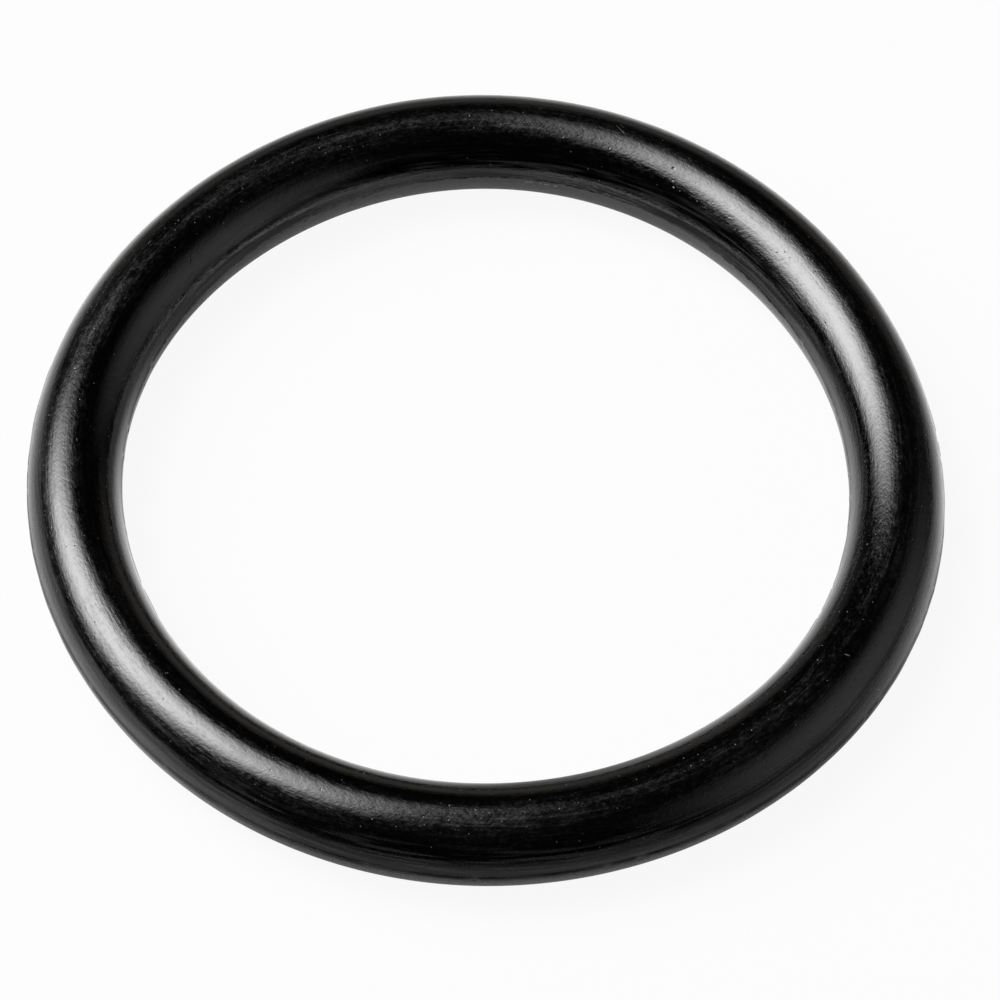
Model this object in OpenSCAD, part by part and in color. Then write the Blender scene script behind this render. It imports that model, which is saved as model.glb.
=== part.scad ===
// Rubber o-ring: one moulded ring of round section, lying flat.
// Millimetres, +Z up, origin at the centre of the ring on its mid-plane, which
// is also the plane where the two halves of the mould met.

/* [Ring] */
// Inside diameter, measured on the round section
inside_d = 26.57; // [20:0.01:60]
// Diameter of the round section
section_d = 3.53; // [2:0.01:6]

/* [Mould line] */
// Height of the trimmed flash above the round section
flash_h = 0.04; // [0.02:0.01:0.1]
// Width of the land that the trimming cut left on the flash
flash_land_w = 0.1; // [0.06:0.01:0.2]
// Width of the flash at its foot, where it leaves the round section
flash_foot_w = 0.44; // [0.3:0.01:0.8]

/* [Hidden] */

section_r = section_d / 2;
// Radius of the circle that the middle of the section runs along
mean_r = inside_d / 2 + section_r;
// Reach of the trimmed land from the middle of the section
flash_reach = section_r + flash_h;
// Reach at which the round section is exactly as wide as the foot of the flash
foot_reach = sqrt(section_r * section_r - flash_foot_w * flash_foot_w / 4);

// The section, with its middle at the origin. The flash stands out on both
// sides, as one band whose ends taper from the foot to the land.
module section() {
    circle(r = section_r, $fn = 96);
    polygon([
        [-flash_reach, -flash_land_w / 2],
        [-foot_reach, -flash_foot_w / 2],
        [foot_reach, -flash_foot_w / 2],
        [flash_reach, -flash_land_w / 2],
        [flash_reach, flash_land_w / 2],
        [foot_reach, flash_foot_w / 2],
        [-foot_reach, flash_foot_w / 2],
        [-flash_reach, flash_land_w / 2],
    ]);
}

module o_ring() {
    color([0.03, 0.03, 0.032])
        rotate_extrude($fn = 256)
            translate([mean_r, 0])
                section();
}

o_ring();
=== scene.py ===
import math

import bpy
import numpy as np
from mathutils import Matrix, Vector


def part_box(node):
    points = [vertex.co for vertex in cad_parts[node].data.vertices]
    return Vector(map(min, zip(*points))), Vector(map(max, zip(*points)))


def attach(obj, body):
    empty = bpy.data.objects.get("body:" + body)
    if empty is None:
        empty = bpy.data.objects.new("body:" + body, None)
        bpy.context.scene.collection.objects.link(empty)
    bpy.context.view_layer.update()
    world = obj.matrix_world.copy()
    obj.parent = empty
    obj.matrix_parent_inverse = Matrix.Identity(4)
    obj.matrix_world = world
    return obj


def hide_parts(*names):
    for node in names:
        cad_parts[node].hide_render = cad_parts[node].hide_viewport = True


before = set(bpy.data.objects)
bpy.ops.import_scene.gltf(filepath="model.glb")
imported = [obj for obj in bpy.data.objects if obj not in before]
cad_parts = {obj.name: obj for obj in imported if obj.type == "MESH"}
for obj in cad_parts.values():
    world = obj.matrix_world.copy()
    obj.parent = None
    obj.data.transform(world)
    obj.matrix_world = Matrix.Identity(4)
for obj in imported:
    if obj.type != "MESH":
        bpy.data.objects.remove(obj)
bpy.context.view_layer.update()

MM = 0.001
MICRON = 0.000001

# The view of the photograph, taken with a long lens from in front and above
PHOTO_SIZE_PX = 1000
RING_CENTRE_PX = (486.3, 475.4)
VIEW_ELEVATION_DEG = 57.42
VIEW_ROLL_DEG = 2.12
VIEW_DISTANCE = 185.4 * MM
FOCAL_LENGTH_PX = 5049
SENSOR_WIDTH_MM = 36
NEAREST_DRAWN = 0.01
FURTHEST_DRAWN = 10

# The soft light of the studio: one large softbox high on the left, and dim cards that stand
# round the table and show as faint patches in the rubber. Angles are in degrees, azimuth 0
# is +Y and 90 is +X, and the soft edge is a share of the half width
LAMP_DISTANCE = 0.8
LAMPS = (
    {"name": "softbox", "azimuth": -73, "elevation": 52, "turn": 5, "soft_edge": 0.88,
     "width": 0.94, "length": 1.19, "radiance": 6.6, "colour": (1, 1, 1)},
    {"name": "right_card", "azimuth": 97, "elevation": 26, "turn": 0, "soft_edge": 0.9,
     "width": 1.6, "length": 1.2, "radiance": 0.24, "colour": (1, 1, 1)},
    {"name": "back_card", "azimuth": 5, "elevation": 9, "turn": 0, "soft_edge": 0.9,
     "width": 2.4, "length": 0.6, "radiance": 0.18, "colour": (1, 0.93, 0.82)},
)

# Light from the pale room on matt surfaces
AMBIENT_LEVEL = 0.1

WHITE = (1, 1, 1, 1)

# The floor: its colour, and the share of it that the camera sees as plain white, so that
# the shadow stays light
FLOOR_COLOUR = (0.9, 0.9, 0.9, 1)
FLOOR_PLAIN_SHARE = 0.92
FLOOR_HALF_SIZE = 1.5
# How bright the floor is in reflections: its level all round, what it has more before the
# walls that face some sides (azimuth, level outside the ring, level inside it), over what
# cosines of the angle from such a side that comes in, and how it all fades further away
FLOOR_LEVEL = 0.27
FLOOR_BRIGHT_SIDES = ((58, 0.95, 0.95), (-90, 0.7, 0.7), (-20, 0.7, 0.15))
FLOOR_SIDE_WIDTH = (0.35, 1)
FLOOR_FADES_FROM = 4 * MM
FLOOR_FADE_POWER = -0.75

# The trimmed flash at the mould line: as high as in the frame, with a crisp upper edge where
# the trimming stopped and a long soft lower one. All but the first are heights above the
# middle of the section
FLASH_HEIGHT = 0.04 * MM
FLASH_TOP = 0.22 * MM
FLASH_LAND_TOP = 0.18 * MM
FLASH_LAND_FOOT = -0.1 * MM
FLASH_FOOT = -0.6 * MM
# How uneven the flash's height is, as a share of it, and in how many waves round the ring
FLASH_UNEVEN = 0.15
FLASH_WAVES = (5, 60)
# Where the photograph shows nicks in its upper edge, in pixels, how long a nick is, and over
# what shares of that length from its middle its depth fades
NICKS_PX = ((932, 583), (927, 609.5), (918, 626), (880, 690), (866, 712), (640, 868), (606, 877),
            (127.5, 427), (129, 460), (851, 497), (851, 520))
NICK_LENGTH = 0.22 * MM
NICK_FADES = (0.25, 0.75)
# Others are strewn at random, so many outside and so many inside, each with a share of that
# length and a share of the full depth in these ranges
STREWN_NICKS = 45
STREWN_NICK_LENGTHS = (0.3, 1.2)
STREWN_NICK_DEPTHS = (0.3, 1)

# How far the relaxed ring lies from a true circle, and how far the width of its section
# departs from the height: (waves round the ring, cosine share, sine share)
OUT_OF_ROUND = ((3, 0.0005, -0.0062), (4, 0.0018, -0.0020))
UNEVEN_WIDTH = ((2, -0.027, -0.0185),)

# Scratches, pits, lint and painted glints where the photograph shows them: the pixels where
# each starts and ends, its width in millimetres, its height in microns, and how pale it shows,
# as lint or, on the crest of the inner mould line, as a painted glint of light
MARKS = (
    ((616.5, 125), (624, 133), 0.035, -5, 0.35),
    ((620, 124), (624, 127.5), 0.03, -4, 0.25),
    ((779, 262), (790, 258.5), 0.1, -4, 0),
    ((790, 258.5), (791, 259), 0.07, -12, 0),
    ((673, 168), (674, 168.5), 0.07, -12, 0),
    ((190, 259), (190, 263), 0.06, -8, 0),
    ((57.4, 397), (57.8, 405), 0.04, 6, 0.6),
    ((57.8, 405), (56.7, 409.5), 0.04, 6, 0.6),
    ((47, 450), (45.5, 455), 0.04, 6, 0.5),
    ((901.5, 472), (900.5, 476), 0.035, 5, 0.5),
    ((873.5, 471), (872, 487), 0.03, 4, 0.3),
    ((784, 226), (784.3, 226.3), 0.045, 5, 0.8),
    ((789, 222.5), (789.3, 222.5), 0.04, 5, 0.6),
    ((792, 233), (792.3, 233), 0.035, 4, 0.5),
    ((599.5, 113.5), (600, 113.5), 0.04, 4, 0.7),
    ((603, 115), (603.3, 115), 0.04, 4, 0.7),
    ((673.5, 187.5), (674, 187.7), 0.04, 5, 0.6),
    ((91.5, 436), (92.3, 436.2), 0.03, 4, 0.5),
    # Painted glints: pale dots of painted highlight along the crest of the inner mould line
    ((525.5, 182), (532, 182.4), 0.035, 4, 0.8),
    ((540, 183.6), (541, 183.6), 0.04, 4, 0.8),
    ((544, 184.4), (549, 184.9), 0.03, 4, 0.6),
    ((554, 186), (557, 186.4), 0.035, 4, 0.9),
    ((845.5, 654.2), (849, 655.5), 0.035, 4, 0.5),
    ((878.5, 689.3), (878.9, 689.8), 0.05, 4, 0.8),
    ((912.4, 608), (912.6, 608.3), 0.035, 4, 0.4),
    ((847.2, 611.5), (847.5, 611.8), 0.03, 4, 0.4),
    ((360.3, 826), (360.6, 826.5), 0.04, 4, 0.35),
)

# The surface of the rubber: fine lines that the mould left along the ring, short slanted
# strokes both ways, grain, mottle, a slow swell, and patches that the strokes are strong in.
# Each is a noise with features so long along the ring and so wide across it
FEATURES = {
    "lines": {"along": 2.5 * MM, "across": 0.11 * MM},
    "strokes": {"along": 0.25 * MM, "across": 0.09 * MM, "slant": 8},
    "crossing": {"along": 0.25 * MM, "across": 0.09 * MM, "slant": -8},
    "grain": {"along": 0.16 * MM, "across": 0.075 * MM},
    "mottle": {"along": 0.35 * MM, "across": 0.2 * MM},
    "swell": {"along": 2.5 * MM, "across": 0.7 * MM, "detail": 0},
    "patches": {"along": 5 * MM, "across": 1.5 * MM, "detail": 0},
}
# The noises have their values on both sides of this
NOISE_MIDDLE = 0.5
# Round pits and dust, in a share of the cells of the given size
PITS = {"spacing": 0.3 * MM, "radius": 0.05 * MM, "share": 0.25}
DUST = {"spacing": 0.4 * MM, "radius": 0.035 * MM, "share": 0.9}

# Heights of the relief, in microns
LINES_DEPTH = 5
STROKES_DEPTH = 2.2
GRAIN_DEPTH = 5.5
MOTTLE_DEPTH = 5
SWELL_DEPTH = 9
PIT_DEPTH = 8
DUST_HEIGHT = 5
# The section isn't quite round: its upper face leans outwards, more at the back of the ring
LEAN = 20
LEAN_MORE_AT_BACK = 75
# Between what values of the patches the lines and strokes grow, and from what share to what
BRUSHED_BETWEEN = (0.35, 0.65)
BRUSHED_SHARES = (0.5, 1.3)

# The scuffed band that trimming left: its ragged upper rim above the middle of the section,
# over what height it comes in there, where it fades lower down, how much rougher its grain
# is in microns, and the shoulder from the band up to the round face, in microns
CUT_RIM_INSIDE = 0.16 * MM
CUT_RIM_OUTSIDE = 0
CUT_COMES_IN = 0.06 * MM
CUT_RAGGED = 0.2 * MM
CUT_FADES_FROM = -0.6 * MM
CUT_FADES_TO = -1.2 * MM
CUT_DEPTH = 4
SHOULDER_INSIDE = 8
SHOULDER_OUTSIDE = 28
SHOULDER_HEIGHT = 0.36 * MM

RUBBER_COLOUR = (0.0012, 0.0012, 0.0013, 1)
RUBBER_IOR = 1.6
# The scuffed band's paler colour is partly the trimmed rubber's own grey and partly painted
# reflection, standing in for the floor's light that the matt band and the lower rim show; outside
# the ring it is the given share as pale
CUT_AND_REFLECTION_COLOUR = (0.09, 0.09, 0.094, 1)
CUT_AND_REFLECTION_PALENESS_OUTSIDE = 0.75
DUST_COLOUR = (0.12, 0.12, 0.12, 1)
# Pale lint, and the painted glints on the inner crest
LINT_AND_GLINT_COLOUR = (0.35, 0.35, 0.34, 1)
# Painted reflection on the flanks of the ring, where they face the floor: pale streaks along the
# lines stand in for the floor's light in the rubber. Between what shares of the section's radius
# they come in, and between what values of the lines
PAINTED_REFLECTION_STREAK_COLOUR = (0.03, 0.03, 0.03, 1)
PAINTED_REFLECTION_STREAKS_FROM = (0.6, 0.92)
PAINTED_REFLECTION_STREAKS_BETWEEN = (0.44, 0.64)

# The outside of the ring is more worn than the inside
INSIDE_ROUGHNESS = 0.1
OUTSIDE_ROUGHNESS = 0.18
UNEVEN_ROUGHNESS = 0.035
UNEVEN_BETWEEN = (0.3, 0.7)
CUT_ROUGHNESS = 0.22
DUST_ROUGHNESS = 0.6
# The grain and the lines along the ring are duller on their crests
DULL_ROUGHNESS = 0.09
DULL_BETWEEN = (0.46, 0.7)

# What differs between the inside and the outside of the ring changes over this distance
# either way of the section's centre line
BLEND_OVER = 1 * MM

STEPS_AROUND = 1280
STEPS_ACROSS = 76
# The mesh is closer along the mould line: how much closer, and over what angle
CLOSER_AT_LINE = 6.0
CLOSER_OVER = math.radians(6)
# How finely a curve is summed up and a line of sight is followed
SUM_STEPS = 20001
SIGHT_STEP = 5 * MICRON

SEED = 7


def ring_sizes():
    """Radius of the round section and of its centre line, from the CAD solid's box."""
    low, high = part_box("o_ring")
    section_r = (high.z - low.z) / 2
    mean_r = (high.x - low.x) / 2 - FLASH_HEIGHT - section_r
    return section_r, mean_r


SECTION_R, MEAN_R = ring_sizes()
FLOOR_Z = -SECTION_R


def smooth_noise(angles, waves, rng):
    """Smooth random curve round a circle, about -1 to 1, from waves in the given range."""
    total = np.zeros_like(angles)
    for count in range(*waves):
        total += rng.normal() * np.cos(count * angles + rng.uniform(0, 2 * math.pi))
    return total / math.sqrt(waves[1] - waves[0])


def waves_round(angles, shares):
    """One plus a sum of slow waves round the ring."""
    total = np.ones_like(angles)
    for waves, cosine, sine in shares:
        total += cosine * np.cos(waves * angles) + sine * np.sin(waves * angles)
    return total


def profile_angles():
    """Angles round the section, closer together at the mould line outside and inside."""
    fine = np.linspace(-math.pi, math.pi, SUM_STEPS)
    from_line = np.minimum(np.abs(fine), math.pi - np.abs(fine))
    density = 1 + CLOSER_AT_LINE * np.exp(-((from_line / CLOSER_OVER) ** 2))
    share = np.concatenate([[0], np.cumsum((density[1:] + density[:-1]) / 2)])
    wanted = (np.arange(STEPS_ACROSS) + 0.5) / STEPS_ACROSS * share[-1]
    return np.interp(wanted, share, fine)


def flash_profile(height):
    """Share of the flash's full height at heights above the middle of the section."""
    places = (FLASH_FOOT, FLASH_LAND_FOOT, FLASH_LAND_TOP, FLASH_TOP)
    return np.interp(height, places, (0, 1, 1, 0))


def centre_radius(around):
    """Radius of the section's centre line at angles round the ring."""
    return MEAN_R * waves_round(around, OUT_OF_ROUND)


def surface_radius(around):
    """Radius of the section, without the flash, at angles round the ring."""
    return SECTION_R * waves_round(around, UNEVEN_WIDTH)


def direction(azimuth_deg, elevation_deg):
    """Unit vector: azimuth 0 is +Y and 90 is +X, elevation is above the horizon."""
    azimuth = math.radians(azimuth_deg)
    elevation = math.radians(elevation_deg)
    level = math.cos(elevation)
    return Vector((math.sin(azimuth) * level, math.cos(azimuth) * level, math.sin(elevation)))


def placement(position, axes):
    """Matrix that puts a thing somewhere, with its X, Y and Z along the three given axes."""
    return Matrix.Translation(position) @ Matrix(axes).transposed().to_4x4()


def camera_axes():
    """The camera's place and its axes, from the pixel where the ring's centre shows."""
    back = direction(180, VIEW_ELEVATION_DEG)
    roll = Matrix.Rotation(math.radians(VIEW_ROLL_DEG), 3, back)
    right = roll @ Vector((1, 0, 0))
    up = back.cross(right)
    position = back * VIEW_DISTANCE
    metres_per_px = VIEW_DISTANCE / FOCAL_LENGTH_PX
    right_px = PHOTO_SIZE_PX / 2 - RING_CENTRE_PX[0]
    up_px = RING_CENTRE_PX[1] - PHOTO_SIZE_PX / 2
    aim = (right * right_px + up * up_px) * metres_per_px
    backwards = (position - aim).normalized()
    right = (right - backwards * right.dot(backwards)).normalized()
    return position, right, backwards.cross(right), backwards


def on_ring(pixel):
    """The point of the ring's surface that a pixel of the photograph shows."""
    position, right, up, backwards = camera_axes()
    across_px = pixel[0] - PHOTO_SIZE_PX / 2
    down_px = pixel[1] - PHOTO_SIZE_PX / 2
    ray = (right * across_px - up * down_px - backwards * FOCAL_LENGTH_PX).normalized()
    travel = np.arange(VIEW_DISTANCE - MEAN_R, VIEW_DISTANCE + MEAN_R, SIGHT_STEP)
    places = np.array(position) + travel[:, None] * np.array(ray)
    around = np.arctan2(places[:, 1], places[:, 0])
    outwards = np.hypot(places[:, 0], places[:, 1]) - centre_radius(around)
    surface = surface_radius(around) + FLASH_HEIGHT * flash_profile(places[:, 2])
    above = np.hypot(outwards, places[:, 2]) - surface
    inside = np.flatnonzero(above < 0)
    return Vector(places[inside[0] if len(inside) else np.argmin(above)])


def flash_heights(around, side, rng):
    """Share of the full height that the flash has round the ring, outside (1) or inside (-1),
    and what the nicks leave of it at its upper edge."""
    uneven = smooth_noise(around, FLASH_WAVES, rng)
    height = np.clip(1 - FLASH_UNEVEN + FLASH_UNEVEN * uneven, 0, 1)
    nicks = []
    for pixel in NICKS_PX:
        place = on_ring(pixel)
        if side * (math.hypot(place.x, place.y) - MEAN_R) > 0:
            nicks.append((math.atan2(place.y, place.x), NICK_LENGTH, 1.0))
    for _ in range(STREWN_NICKS):
        length = NICK_LENGTH * rng.uniform(*STREWN_NICK_LENGTHS)
        angle = rng.uniform(-math.pi, math.pi)
        nicks.append((angle, length, rng.uniform(*STREWN_NICK_DEPTHS)))
    left = np.ones_like(around)
    for angle, length, depth in nicks:
        apart = np.abs(np.angle(np.exp(1j * (around - angle)))) * (MEAN_R + side * SECTION_R)
        left = left * (1 - depth * np.interp(apart / length, NICK_FADES, (1, 0)))
    return height, left


def ring_mesh():
    rng = np.random.default_rng(SEED)
    around = np.arange(STEPS_AROUND) * (2 * math.pi / STEPS_AROUND)
    around_grid, across_grid = np.meshgrid(around, profile_angles(), indexing="ij")
    height = SECTION_R * np.sin(across_grid)
    is_outside = np.cos(across_grid) > 0
    outside, outside_left = flash_heights(around, 1, rng)
    inside, inside_left = flash_heights(around, -1, rng)
    flash = flash_profile(height) * np.where(is_outside, outside[:, None], inside[:, None])
    left = np.where(is_outside, outside_left[:, None], inside_left[:, None])
    flash = flash * np.where(height > 0, left, 1)
    surface_r = surface_radius(around)[:, None] + FLASH_HEIGHT * flash
    radius = centre_radius(around)[:, None] + surface_r * np.cos(across_grid)
    points = (radius * np.cos(around_grid), radius * np.sin(around_grid), height)
    points = np.stack(points, axis=-1).reshape(-1, 3)
    index = np.arange(STEPS_AROUND * STEPS_ACROSS).reshape(STEPS_AROUND, STEPS_ACROSS)
    ahead = np.roll(index, -1, axis=0)
    corners = (index, ahead, np.roll(ahead, -1, axis=1), np.roll(index, -1, axis=1))
    faces = np.stack(corners, axis=-1).reshape(-1, 4)
    mesh = bpy.data.meshes.new("ring_surface")
    mesh.from_pydata(points.tolist(), [], faces.tolist())
    mesh.update()
    mesh.polygons.foreach_set("use_smooth", np.ones(len(mesh.polygons), bool))
    return mesh


class Nodes:
    """Short calls for building the node tree of a material, a lamp or the world."""

    def __init__(self, owner):
        owner.use_nodes = True
        self.tree = owner.node_tree
        self.tree.nodes.clear()

    def add(self, kind, inputs=None, **settings):
        """New node with its settings, and with constants or other nodes' sockets as inputs."""
        made = self.tree.nodes.new(kind)
        for name, value in settings.items():
            setattr(made, name, value)
        for name, value in (inputs or {}).items():
            if isinstance(value, bpy.types.NodeSocket):
                self.tree.links.new(value, made.inputs[name])
            else:
                made.inputs[name].default_value = value
        return made

    def math(self, operation, first, second=0.0, third=0.0):
        inputs = {0: first, 1: second, 2: third}
        return self.add("ShaderNodeMath", inputs, operation=operation).outputs[0]

    def vector(self, operation, first, second=(0, 0, 0)):
        inputs = {0: first, 1: second}
        made = self.add("ShaderNodeVectorMath", inputs, operation=operation)
        gives_number = operation in ("DOT_PRODUCT", "DISTANCE", "LENGTH")
        return made.outputs["Value" if gives_number else "Vector"]

    def mix_colours(self, share, first, second):
        # A Mix node's colour sockets share their names with others, so they go by number
        inputs = {"Factor": share, 6: first, 7: second}
        return self.add("ShaderNodeMix", inputs, data_type="RGBA").outputs[2]

    def mix_shaders(self, share, first, second):
        inputs = {0: share, 1: first, 2: second}
        return self.add("ShaderNodeMixShader", inputs).outputs["Shader"]

    def ramp(self, value, low, high, at_low=0.0, at_high=1.0):
        made = self.add(
            "ShaderNodeMapRange",
            {"Value": value, "From Min": low, "From Max": high, "To Min": at_low, "To Max": at_high},
            interpolation_type="SMOOTHSTEP",
        )
        return made.outputs["Result"]


def ring_coordinates(nodes):
    """Sockets that say where a point is: its place, its height, how far it lies outwards of
    the section's centre line, and its angles round the ring and round the section."""
    place = nodes.add("ShaderNodeTexCoord").outputs["Object"]
    split = nodes.add("ShaderNodeSeparateXYZ", {"Vector": place}).outputs
    squares = nodes.math("MULTIPLY", split["X"], split["X"])
    squares = nodes.math("MULTIPLY_ADD", split["Y"], split["Y"], squares)
    outwards = nodes.math("SUBTRACT", nodes.math("SQRT", squares), MEAN_R)
    return {
        "place": place,
        "height": split["Z"],
        "outwards": outwards,
        "round": nodes.math("ARCTAN2", split["Y"], split["X"]),
        "section": nodes.math("ARCTAN2", split["Z"], outwards),
    }


def in_and_out(nodes, outwards, inside, outside):
    """A value that is one number on the inside of the ring and another on the outside."""
    return nodes.ramp(outwards, -BLEND_OVER, BLEND_OVER, inside, outside)


def ring_noise(nodes, where, along, across, slant=0, detail=2.0):
    """Noise with features of one length along the ring and another across it, with no seam.

    The features lie along the ring, or along a helix that goes round the section a whole
    number of times, which is their slant.
    """
    turn = MEAN_R / along
    roll = SECTION_R / across
    slanted = nodes.math("MULTIPLY_ADD", where["round"], slant, where["section"])
    vector = nodes.add(
        "ShaderNodeCombineXYZ",
        {
            "X": nodes.math("MULTIPLY", nodes.math("COSINE", where["round"]), turn),
            "Y": nodes.math("MULTIPLY", nodes.math("SINE", where["round"]), turn),
            "Z": nodes.math("MULTIPLY", nodes.math("COSINE", slanted), roll),
        },
    ).outputs["Vector"]
    fourth = nodes.math("MULTIPLY", nodes.math("SINE", slanted), roll)
    inputs = {"Vector": vector, "W": fourth, "Scale": 1.0, "Detail": detail}
    return nodes.add("ShaderNodeTexNoise", inputs, noise_dimensions="4D").outputs["Fac"]


def spots(nodes, where, spacing, radius, share):
    """Mask of small round spots at random places: 1 in the middle of a spot, 0 outside."""
    inputs = {"Vector": where["place"], "Scale": 1 / spacing}
    cells = nodes.add("ShaderNodeTexVoronoi", inputs).outputs
    chance = nodes.add("ShaderNodeSeparateColor", {"Color": cells["Color"]}).outputs["Red"]
    inside = nodes.ramp(cells["Distance"], 0, radius / spacing, 1, 0)
    return nodes.math("MULTIPLY", inside, nodes.math("LESS_THAN", chance, share))


def mark_mask(nodes, where, start_px, end_px, width):
    """Mask of a straight mark between two pixels of the photograph: 1 along its middle."""
    start = on_ring(start_px)
    mark = on_ring(end_px) - start
    from_start = nodes.vector("SUBTRACT", where["place"], start)
    along = nodes.vector("DOT_PRODUCT", from_start, mark / mark.length_squared)
    along = nodes.add("ShaderNodeClamp", {"Value": along}).outputs["Result"]
    nearest = nodes.add("ShaderNodeCombineXYZ", {"X": along, "Y": along, "Z": along})
    nearest = nodes.vector("MULTIPLY", nearest.outputs["Vector"], mark)
    distance = nodes.vector("DISTANCE", from_start, nearest)
    return nodes.ramp(distance, 0, width, 1, 0)


def placed_marks(nodes, where):
    """Height of the marks in the list, in microns, and mask of those that show pale: lint, and
    painted glints on the inner crest.
    """
    height = 0.0
    lint_and_glints = 0.0
    for start_px, end_px, width_mm, mark_height, paleness in MARKS:
        mark = mark_mask(nodes, where, start_px, end_px, width_mm * MM)
        height = nodes.math("MULTIPLY_ADD", mark, mark_height, height)
        if paleness:
            lint_and_glints = nodes.math("MAXIMUM", nodes.math("MULTIPLY", mark, paleness), lint_and_glints)
    return height, lint_and_glints


def scuffed_band(nodes, where, mottle):
    """Height above the rim of the scuffed band, and mask of the band."""
    rim = in_and_out(nodes, where["outwards"], CUT_RIM_INSIDE, CUT_RIM_OUTSIDE)
    above_rim = nodes.math("SUBTRACT", where["height"], rim)
    ragged = nodes.math("SUBTRACT", mottle, NOISE_MIDDLE)
    ragged = nodes.math("MULTIPLY_ADD", ragged, CUT_RAGGED, above_rim)
    below_rim = nodes.ramp(ragged, 0, CUT_COMES_IN, 1, 0)
    fades = nodes.ramp(where["height"], CUT_FADES_TO, CUT_FADES_FROM)
    return above_rim, nodes.math("MULTIPLY", below_rim, fades)


def rubber_relief(nodes, where, noise, masks):
    """Height of the relief without the placed marks, in microns."""
    height = nodes.math("MULTIPLY", noise["lines"], LINES_DEPTH)
    for name in ("strokes", "crossing"):
        height = nodes.math("MULTIPLY_ADD", noise[name], STROKES_DEPTH, height)
    brushed = nodes.ramp(noise["patches"], *BRUSHED_BETWEEN, *BRUSHED_SHARES)
    height = nodes.math("MULTIPLY", height, brushed)
    rough_cut = nodes.math("MULTIPLY_ADD", masks["cut"], CUT_DEPTH, GRAIN_DEPTH)
    height = nodes.math("MULTIPLY_ADD", noise["grain"], rough_cut, height)
    shoulder = in_and_out(nodes, where["outwards"], SHOULDER_INSIDE, SHOULDER_OUTSIDE)
    rise = nodes.ramp(masks["above_rim"], 0, SHOULDER_HEIGHT, 1, 0)
    height = nodes.math("MULTIPLY_ADD", rise, shoulder, height)
    lean = nodes.math("MULTIPLY_ADD", nodes.math("SINE", where["round"]), LEAN_MORE_AT_BACK, LEAN)
    # The lean bulges on one side of the section's top and sinks on the other, hence the sine
    # of twice the angle
    bulge = nodes.math("SINE", nodes.math("MULTIPLY", where["section"], 2.0))
    height = nodes.math("MULTIPLY_ADD", lean, bulge, height)
    parts = (
        (noise["mottle"], MOTTLE_DEPTH),
        (noise["swell"], SWELL_DEPTH),
        (masks["pits"], -PIT_DEPTH),
        (masks["dust"], DUST_HEIGHT),
    )
    for part, microns in parts:
        height = nodes.math("MULTIPLY_ADD", part, microns, height)
    return height


def rubber_roughness(nodes, where, noise, masks):
    levels = (INSIDE_ROUGHNESS, OUTSIDE_ROUGHNESS)
    roughness = nodes.ramp(where["outwards"], -SECTION_R, SECTION_R, *levels)
    for name in ("patches", "mottle"):
        uneven = nodes.ramp(noise[name], *UNEVEN_BETWEEN, -UNEVEN_ROUGHNESS, UNEVEN_ROUGHNESS)
        roughness = nodes.math("ADD", roughness, uneven)
    for name in ("lines", "grain"):
        dull = nodes.ramp(noise[name], *DULL_BETWEEN)
        roughness = nodes.math("MULTIPLY_ADD", dull, DULL_ROUGHNESS, roughness)
    least = {"cut": CUT_ROUGHNESS, "dust": DUST_ROUGHNESS, "lint_and_glints": DUST_ROUGHNESS}
    for name, level in least.items():
        roughness = nodes.math("MAXIMUM", roughness, nodes.math("MULTIPLY", masks[name], level))
    return roughness


def rubber_colour(nodes, where, noise, masks):
    flank = nodes.math("DIVIDE", nodes.math("ABSOLUTE", where["outwards"]), SECTION_R)
    # Painted reflection: pale streaks along the lines on the flanks stand in for the floor's light
    # in the rubber
    painted_reflection_streaks = nodes.ramp(noise["lines"], *PAINTED_REFLECTION_STREAKS_BETWEEN)
    painted_reflection_streaks = nodes.math("MULTIPLY", painted_reflection_streaks, nodes.ramp(flank, *PAINTED_REFLECTION_STREAKS_FROM))
    # The scuffed band's paleness: partly its own grey, partly painted reflection of the floor
    paleness = in_and_out(nodes, where["outwards"], 1, CUT_AND_REFLECTION_PALENESS_OUTSIDE)
    layers = (
        (painted_reflection_streaks, PAINTED_REFLECTION_STREAK_COLOUR),
        (nodes.math("MULTIPLY", masks["cut"], paleness), CUT_AND_REFLECTION_COLOUR),
        (masks["dust"], DUST_COLOUR),
        # Pale lint, and painted glints on the inner crest
        (masks["lint_and_glints"], LINT_AND_GLINT_COLOUR),
    )
    colour = RUBBER_COLOUR
    for share, layer in layers:
        colour = nodes.mix_colours(share, colour, layer)
    return colour


def rubber_material():
    material = bpy.data.materials.new("black_rubber")
    nodes = Nodes(material)
    where = ring_coordinates(nodes)
    noise = {name: ring_noise(nodes, where, **sizes) for name, sizes in FEATURES.items()}
    masks = {"pits": spots(nodes, where, **PITS), "dust": spots(nodes, where, **DUST)}
    masks["above_rim"], masks["cut"] = scuffed_band(nodes, where, noise["mottle"])
    marks, masks["lint_and_glints"] = placed_marks(nodes, where)
    height = nodes.math("ADD", rubber_relief(nodes, where, noise, masks), marks)
    bump = nodes.add("ShaderNodeBump", {"Height": height, "Distance": MICRON, "Strength": 1.0})
    shader = nodes.add(
        "ShaderNodeBsdfPrincipled",
        {
            "Base Color": rubber_colour(nodes, where, noise, masks),
            "Roughness": rubber_roughness(nodes, where, noise, masks),
            "IOR": RUBBER_IOR,
            "Specular IOR Level": 1.0,
            "Normal": bump.outputs["Normal"],
        },
    )
    nodes.add("ShaderNodeOutputMaterial", {"Surface": shader.outputs["BSDF"]})
    return material


def make_ring():
    ring = bpy.data.objects.new("rubber_ring", ring_mesh())
    bpy.context.scene.collection.objects.link(ring)
    ring.data.materials.append(rubber_material())
    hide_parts("o_ring")
    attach(ring, "root")


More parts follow.
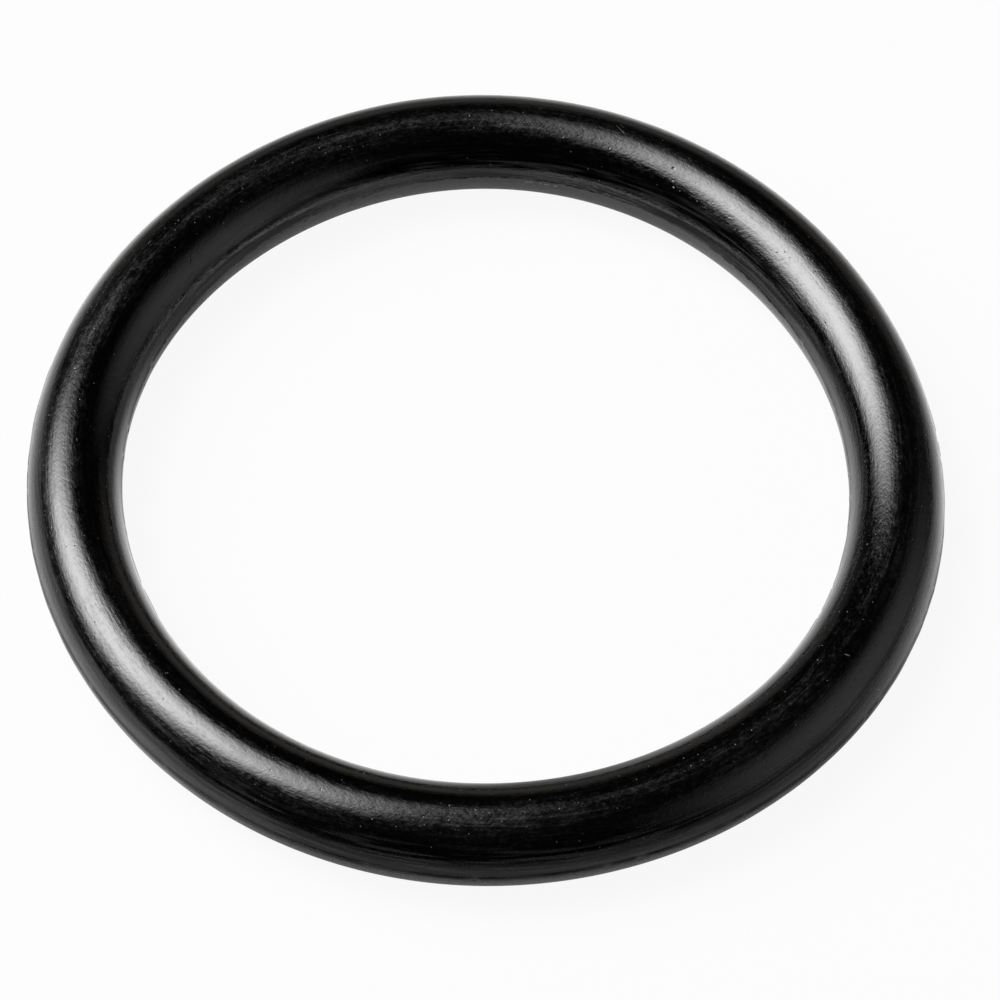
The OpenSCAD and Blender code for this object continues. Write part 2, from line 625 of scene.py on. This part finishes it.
def soften_lamp(light, edge):
    """Let a lamp's face fade towards its rim, over a share of its half width."""
    nodes = Nodes(light)
    face = nodes.add("ShaderNodeNewGeometry").outputs["Parametric"]
    split = nodes.add("ShaderNodeSeparateXYZ", {"Vector": face}).outputs
    level = 1.0
    for axis in ("X", "Y"):
        # The face's coordinates run from 0 to 1, so this is 0 in its middle and 1 at its rim
        from_middle = nodes.math("ABSOLUTE", nodes.math("MULTIPLY_ADD", split[axis], 2.0, -1.0))
        level = nodes.math("MULTIPLY", nodes.ramp(from_middle, 1 - edge, 1, 1, 0), level)
    glow = nodes.add("ShaderNodeEmission", {"Strength": level}).outputs["Emission"]
    nodes.add("ShaderNodeOutputLight", {"Surface": glow})


def make_lamp(lamp):
    light = bpy.data.lights.new(lamp["name"], "AREA")
    light.shape = "RECTANGLE"
    light.size = lamp["width"]
    light.size_y = lamp["length"]
    light.color = lamp["colour"]
    # A lamp's power over its area and pi is the brightness of its face
    light.energy = lamp["radiance"] * lamp["width"] * lamp["length"] * math.pi
    soften_lamp(light, lamp["soft_edge"])
    made = bpy.data.objects.new(lamp["name"], light)
    bpy.context.scene.collection.objects.link(made)
    towards = direction(lamp["azimuth"], lamp["elevation"])
    side = Vector((0, 0, 1)).cross(towards).normalized()
    turn = Matrix.Rotation(math.radians(lamp["turn"]), 3, towards)
    axes = (turn @ side, turn @ towards.cross(side), towards)
    made.matrix_world = placement(towards * LAMP_DISTANCE, axes)
    made.visible_camera = False


def floor_in_reflections(nodes):
    """How bright the floor is at a place: more on some sides of the ring, less further away."""
    place = nodes.add("ShaderNodeTexCoord").outputs["Object"]
    radius = nodes.vector("LENGTH", place)
    outwards = nodes.math("SUBTRACT", radius, MEAN_R)
    # The outside of the ring faces away from its centre, and the inside faces the centre
    facing = nodes.math("DIVIDE", in_and_out(nodes, outwards, -1, 1), radius)
    level = FLOOR_LEVEL
    for azimuth, more_outside, more_inside in FLOOR_BRIGHT_SIDES:
        towards = nodes.vector("DOT_PRODUCT", place, direction(azimuth, 0))
        towards = nodes.math("MULTIPLY", towards, facing)
        more = in_and_out(nodes, outwards, more_inside, more_outside)
        level = nodes.math("MULTIPLY_ADD", nodes.ramp(towards, *FLOOR_SIDE_WIDTH), more, level)
    away = nodes.math("DIVIDE", nodes.math("ABSOLUTE", outwards), FLOOR_FADES_FROM)
    left = nodes.math("POWER", nodes.math("MAXIMUM", away, 1.0), FLOOR_FADE_POWER)
    return nodes.math("MULTIPLY", level, left)


def floor_material():
    """White to the camera apart from a light shadow, and a dimmer plain face in reflections."""
    material = bpy.data.materials.new("pale_floor")
    nodes = Nodes(material)
    path = nodes.add("ShaderNodeLightPath").outputs
    lit = nodes.add("ShaderNodeBsdfDiffuse", {"Color": FLOOR_COLOUR}).outputs["BSDF"]
    plain = nodes.add("ShaderNodeEmission", {"Color": WHITE, "Strength": 1.0}).outputs["Emission"]
    glow = {"Color": WHITE, "Strength": floor_in_reflections(nodes)}
    dim = nodes.add("ShaderNodeEmission", glow).outputs["Emission"]
    seen = nodes.mix_shaders(FLOOR_PLAIN_SHARE, lit, plain)
    surface = nodes.mix_shaders(path["Is Camera Ray"], lit, seen)
    surface = nodes.mix_shaders(path["Is Glossy Ray"], surface, dim)
    nodes.add("ShaderNodeOutputMaterial", {"Surface": surface})
    return material


def make_floor():
    half = FLOOR_HALF_SIZE
    mesh = bpy.data.meshes.new("floor")
    corners = [(-half, -half, 0), (half, -half, 0), (half, half, 0), (-half, half, 0)]
    mesh.from_pydata(corners, [], [(0, 1, 2, 3)])
    mesh.materials.append(floor_material())
    floor = bpy.data.objects.new("floor", mesh)
    floor.location.z = FLOOR_Z
    bpy.context.scene.collection.objects.link(floor)


def make_world():
    world = bpy.data.worlds.new("studio")
    bpy.context.scene.world = world
    nodes = Nodes(world)
    path = nodes.add("ShaderNodeLightPath").outputs
    ambient = nodes.math("MULTIPLY", path["Is Diffuse Ray"], AMBIENT_LEVEL)
    strength = nodes.math("MAXIMUM", path["Is Camera Ray"], ambient)
    background = nodes.add("ShaderNodeBackground", {"Color": WHITE, "Strength": strength})
    nodes.add("ShaderNodeOutputWorld", {"Surface": background.outputs["Background"]})


def make_camera():
    data = bpy.data.cameras.new("camera")
    data.sensor_width = SENSOR_WIDTH_MM
    data.lens = FOCAL_LENGTH_PX / PHOTO_SIZE_PX * SENSOR_WIDTH_MM
    data.clip_start = NEAREST_DRAWN
    data.clip_end = FURTHEST_DRAWN
    camera = bpy.data.objects.new("camera", data)
    bpy.context.scene.collection.objects.link(camera)
    bpy.context.scene.camera = camera
    position, right, up, backwards = camera_axes()
    camera.matrix_world = placement(position, (right, up, backwards))


make_ring()
for lamp in LAMPS:
    make_lamp(lamp)
make_floor()
make_world()
make_camera()
bpy.context.scene.view_settings.view_transform = "Standard"
